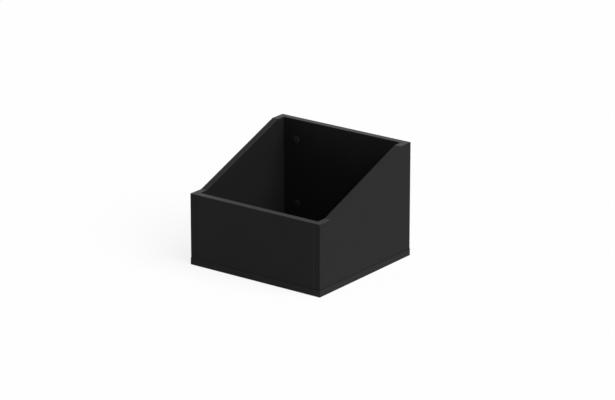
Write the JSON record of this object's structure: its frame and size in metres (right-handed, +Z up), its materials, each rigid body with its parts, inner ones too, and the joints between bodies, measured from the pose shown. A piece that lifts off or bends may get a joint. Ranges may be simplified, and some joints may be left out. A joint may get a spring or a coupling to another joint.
{
  "type": "record storage stand",
  "caption": "Open-topped record box of black melamine-faced chipboard with a low front, a tall back and side panels whose top edges slope up between level ends.",
  "frame": {"origin": "on the floor under the middle of the base", "axes": "+X to the right as seen from the low front, +Y from the front to the tall back, +Z up"},
  "size_m": [0.3512, 0.3352, 0.262],
  "materials": {
    "melamine_board": "satin",
    "edge_band": "satin",
    "cap_plastic": "matte",
    "cast_zinc": "satin",
    "plated_steel": "satin",
    "beech": "matte"
  },
  "bodies": {
    "root": {"base_panel": "melamine_board", "front_panel": "melamine_board", "back_panel": "melamine_board", "left_side_panel": "melamine_board", "right_side_panel": "melamine_board", "left_side_top_band": "edge_band", "right_side_top_band": "edge_band", "front_top_band": "edge_band", "back_top_band": "edge_band", "front_bottom_band": "edge_band", "back_bottom_band": "edge_band", "left_side_bottom_band": "edge_band", "right_side_bottom_band": "edge_band", "left_side_front_band": "edge_band", "left_side_rear_band": "edge_band", "right_side_front_band": "edge_band", "right_side_rear_band": "edge_band", "base_front_band": "edge_band", "base_rear_band": "edge_band", "base_left_band": "edge_band", "base_right_band": "edge_band", "cam_front_left_1": "cast_zinc", "cam_front_right_1": "cast_zinc", "cam_back_left_1": "cast_zinc", "cam_back_left_2": "cast_zinc", "cam_back_right_1": "cast_zinc", "cam_back_right_2": "cast_zinc", "cam_bolt_front_left_1": "plated_steel", "cam_bolt_front_right_1": "plated_steel", "cam_bolt_back_left_1": "plated_steel", "cam_bolt_back_left_2": "plated_steel", "cam_bolt_back_right_1": "plated_steel", "cam_bolt_back_right_2": "plated_steel", "cam_cap_front_left_1": "cap_plastic", "cam_cap_front_right_1": "cap_plastic", "cam_cap_back_left_1": "cap_plastic", "cam_cap_back_left_2": "cap_plastic", "cam_cap_back_right_1": "cap_plastic", "cam_cap_back_right_2": "cap_plastic", "dowel_front_left_1": "beech", "dowel_front_left_2": "beech", "dowel_back_left_1": "beech", "dowel_back_left_2": "beech", "dowel_front_right_1": "beech", "dowel_front_right_2": "beech", "dowel_back_right_1": "beech", "dowel_back_right_2": "beech", "dowel_base_left_front": "beech", "dowel_base_left_rear": "beech", "dowel_base_right_front": "beech", "dowel_base_right_rear": "beech", "base_screw_left_front": "plated_steel", "base_screw_left_rear": "plated_steel", "base_screw_right_front": "plated_steel", "base_screw_right_rear": "plated_steel", "base_screw_front_left": "plated_steel", "base_screw_front_right": "plated_steel", "base_screw_back_left": "plated_steel", "base_screw_back_right": "plated_steel"}
  },
  "joints": []
}
